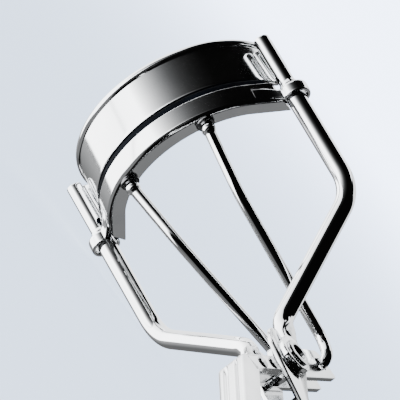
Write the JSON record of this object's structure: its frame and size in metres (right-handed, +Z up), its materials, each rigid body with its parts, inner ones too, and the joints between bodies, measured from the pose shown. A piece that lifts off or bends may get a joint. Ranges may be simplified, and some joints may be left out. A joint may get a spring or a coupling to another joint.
{
  "type": "eyelash curler",
  "caption": "Scissor-handled eyelash curler: curved upper jaw on two rail wires, sliding padded lower jaw driven by push rods, two finger rings.",
  "frame": {"origin": "centre of the footprint on the surface the curler lies on", "axes": "the curler lies on its left side: +X along its length towards the jaws, +Z up towards the right rail, +Y towards the side the jaws bulge to"},
  "size_m": [0.1012, 0.0582, 0.0411],
  "materials": {
    "jaw_steel": "polished, faint satin grain",
    "wire_steel": "polished drawn wire",
    "handle_steel": "polished folded sheet",
    "rivet_steel": "plain turned steel",
    "silicone": "matt moulded silicone"
  },
  "bodies": {
    "frame": {"upper_jaw": "jaw_steel", "left_rail_wire": "wire_steel", "right_rail_wire": "wire_steel", "back_handle": "handle_steel", "pivot_pin": "rivet_steel", "left_yoke_rivet": "rivet_steel", "right_yoke_rivet": "rivet_steel"},
    "front_handle": {"front_handle": "handle_steel", "left_crank_plate": "handle_steel", "right_crank_plate": "handle_steel", "crank_spacer": "rivet_steel", "near_crank_rivet": "rivet_steel", "far_crank_rivet": "rivet_steel", "pivot_bush": "rivet_steel"},
    "lower_jaw": {"lower_jaw": "jaw_steel", "silicone_pad": "silicone", "left_ball_seat": "rivet_steel", "right_ball_seat": "rivet_steel"},
    "push_rods": {"left_push_rod": "wire_steel", "right_push_rod": "wire_steel"}
  },
  "joints": [
    {"name": "handle_hinge", "type": "hinge", "parent": "frame", "child": "front_handle", "pos_m": [-0.00476, -0.01276, 0.01382], "axis": [0.1272, -0.1629, -0.9784], "range_deg": [0, 38]},
    {"name": "jaw_slide", "type": "slide", "parent": "frame", "child": "lower_jaw", "axis": [-0.9851, -0.1358, -0.1055], "range_m": [0, 0.00866]},
    {"name": "rod_swing", "type": "hinge", "parent": "lower_jaw", "child": "push_rods", "pos_m": [0.03471, -0.01351, 0.01908], "axis": [0.1272, -0.1629, -0.9784], "range_deg": [0, 2.16]}
  ],
  "couplings": [
    {"joint": "jaw_slide", "follows": "handle_hinge", "m_per_rad": 0.013023},
    {"joint": "rod_swing", "follows": "handle_hinge", "ratio": 0.055526}
  ]
}
